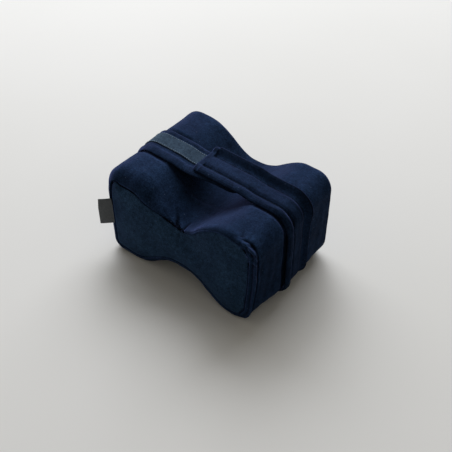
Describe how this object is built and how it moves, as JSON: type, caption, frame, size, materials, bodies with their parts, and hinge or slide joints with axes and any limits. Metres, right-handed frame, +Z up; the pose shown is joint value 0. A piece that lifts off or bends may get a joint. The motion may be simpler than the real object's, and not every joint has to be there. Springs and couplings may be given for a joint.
{
  "type": "knee pillow",
  "caption": "Filled hourglass cushion for resting between the knees, with sewn side panels, a strap round it that closes over the top hollow, and a bare side tab",
  "frame": {"origin": "bottom centre of the whole pillow, on the surface it rests on", "axes": "+X along the hourglass, from the end with the tab to the other; +Y from the front panel to the back panel; +Z up"},
  "size_m": [0.2742, 0.1978, 0.1615],
  "materials": {
    "velour": "dark navy short-pile velour",
    "panel_velour": "dark navy short-pile velour, slightly greyer",
    "strap_velour": "dark navy short-pile velour, topstitched",
    "tape_loops": "grey-blue fuzzy loop tape",
    "tab_ribbon": "dark grey woven ribbon, bare"
  },
  "bodies": {
    "root": {"cushion_body": "velour", "front_panel": "panel_velour", "back_panel": "panel_velour", "strap": "strap_velour", "fastening_tape": "tape_loops", "side_tab": "tab_ribbon"}
  },
  "joints": []
}
